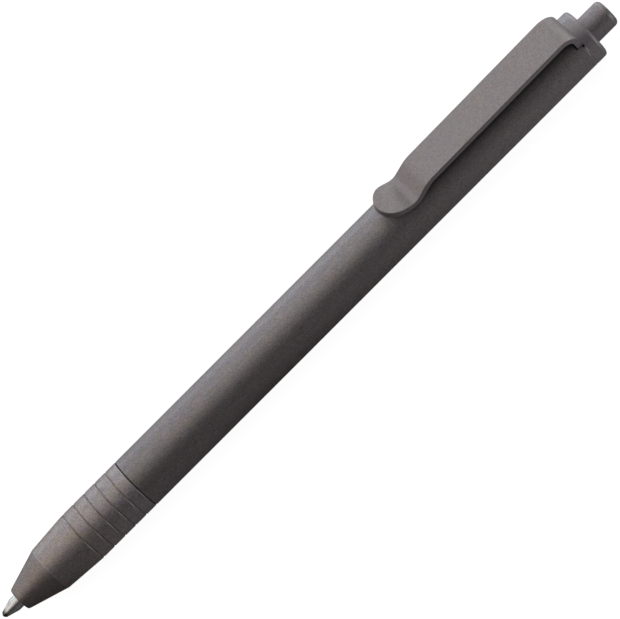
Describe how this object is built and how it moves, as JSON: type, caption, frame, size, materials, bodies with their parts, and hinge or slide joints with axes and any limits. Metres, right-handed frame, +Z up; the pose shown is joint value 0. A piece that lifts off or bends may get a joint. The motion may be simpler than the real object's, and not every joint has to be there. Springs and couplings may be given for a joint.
{
  "type": "click pen",
  "caption": "Round titanium click pen with a cone nose, a ringed grip, a bent strip pocket clip and a push button, built round a standard metal ballpoint refill.",
  "frame": {"origin": "on the table, under the middle of the pen's box", "axes": "+X runs along the pen from the writing tip to the button, +Z is up and is the side of the pocket clip, and the barrel lies on the table"},
  "size_m": [0.1439, 0.01, 0.0141],
  "materials": {
    "titanium": "bead-blasted titanium, matte grey with a warm cast",
    "clip_titanium": "bead-blasted titanium strip, matte grey",
    "button_titanium": "bead-blasted titanium, matte grey",
    "rubber": "black nitrile rubber",
    "cam_plastic": "natural white acetal",
    "cam_brass": "turned brass",
    "spring_steel": "drawn spring wire",
    "refill_steel": "satin stainless tube",
    "point_steel": "polished stainless",
    "ball_carbide": "tungsten carbide",
    "plug_plastic": "black moulded plastic",
    "ink": "thick black ballpoint ink"
  },
  "bodies": {
    "barrel_assembly": {"barrel": "titanium", "tail_cap": "titanium", "cap_o_ring": "rubber", "cam_sleeve": "cam_brass", "cam_end_ring": "cam_brass", "retaining_nut": "cam_brass", "return_spring": "spring_steel"},
    "spigot_ring": {"section_o_ring": "rubber"},
    "grip": {"front_section": "titanium"},
    "button": {"plunger": "button_titanium", "plunger_stem": "cam_plastic", "plunger_o_ring": "rubber"},
    "rotor": {"cam_rotor": "cam_plastic"},
    "refill": {"refill_tube": "refill_steel", "refill_neck": "cam_brass", "refill_point": "point_steel", "refill_plug": "plug_plastic", "ink_column": "ink"},
    "writing_ball": {"refill_ball": "ball_carbide"},
    "pocket_clip": {"clip": "clip_titanium"}
  },
  "joints": [
    {"name": "plunger_slide", "type": "slide", "parent": "barrel_assembly", "child": "button", "axis": [1, 0, 0], "range_m": [-0.0011, 0.0055], "stiffness_N_per_m": 250, "springref_m": 0.0075},
    {"name": "refill_slide", "type": "slide", "parent": "barrel_assembly", "child": "refill", "axis": [1, 0, 0], "range_m": [-0.0011, 0.0055], "deforming": ["return_spring"]},
    {"name": "rotor_turn", "type": "hinge", "parent": "button", "child": "rotor", "pos_m": [0.03705, 0, 0.005], "axis": [1, 0, 0], "continuous": true},
    {"name": "clip_flex", "type": "hinge", "parent": "barrel_assembly", "child": "pocket_clip", "pos_m": [0.06445, 0, 0.01], "axis": [0, 1, 0], "range_deg": [0, 4], "stiffness_Nm_per_rad": 1.4, "springref_deg": -0.57},
    {"name": "section_advance", "type": "slide", "parent": "barrel_assembly", "child": "spigot_ring", "axis": [-1, 0, 0], "range_m": [0, 0.006]},
    {"name": "section_turn", "type": "hinge", "parent": "spigot_ring", "child": "grip", "pos_m": [-0.04025, 0, 0.005], "axis": [-1, 0, 0], "range_deg": [0, 2881]},
    {"name": "ball_roll", "type": "hinge", "parent": "refill", "child": "writing_ball", "pos_m": [-0.07145, 0, 0.005], "axis": [0, 1, 0], "continuous": true}
  ],
  "couplings": [
    {"joint": "refill_slide", "follows": "plunger_slide", "ratio": 1},
    {"joint": "section_turn", "follows": "section_advance", "rad_per_m": 8377.6}
  ]
}
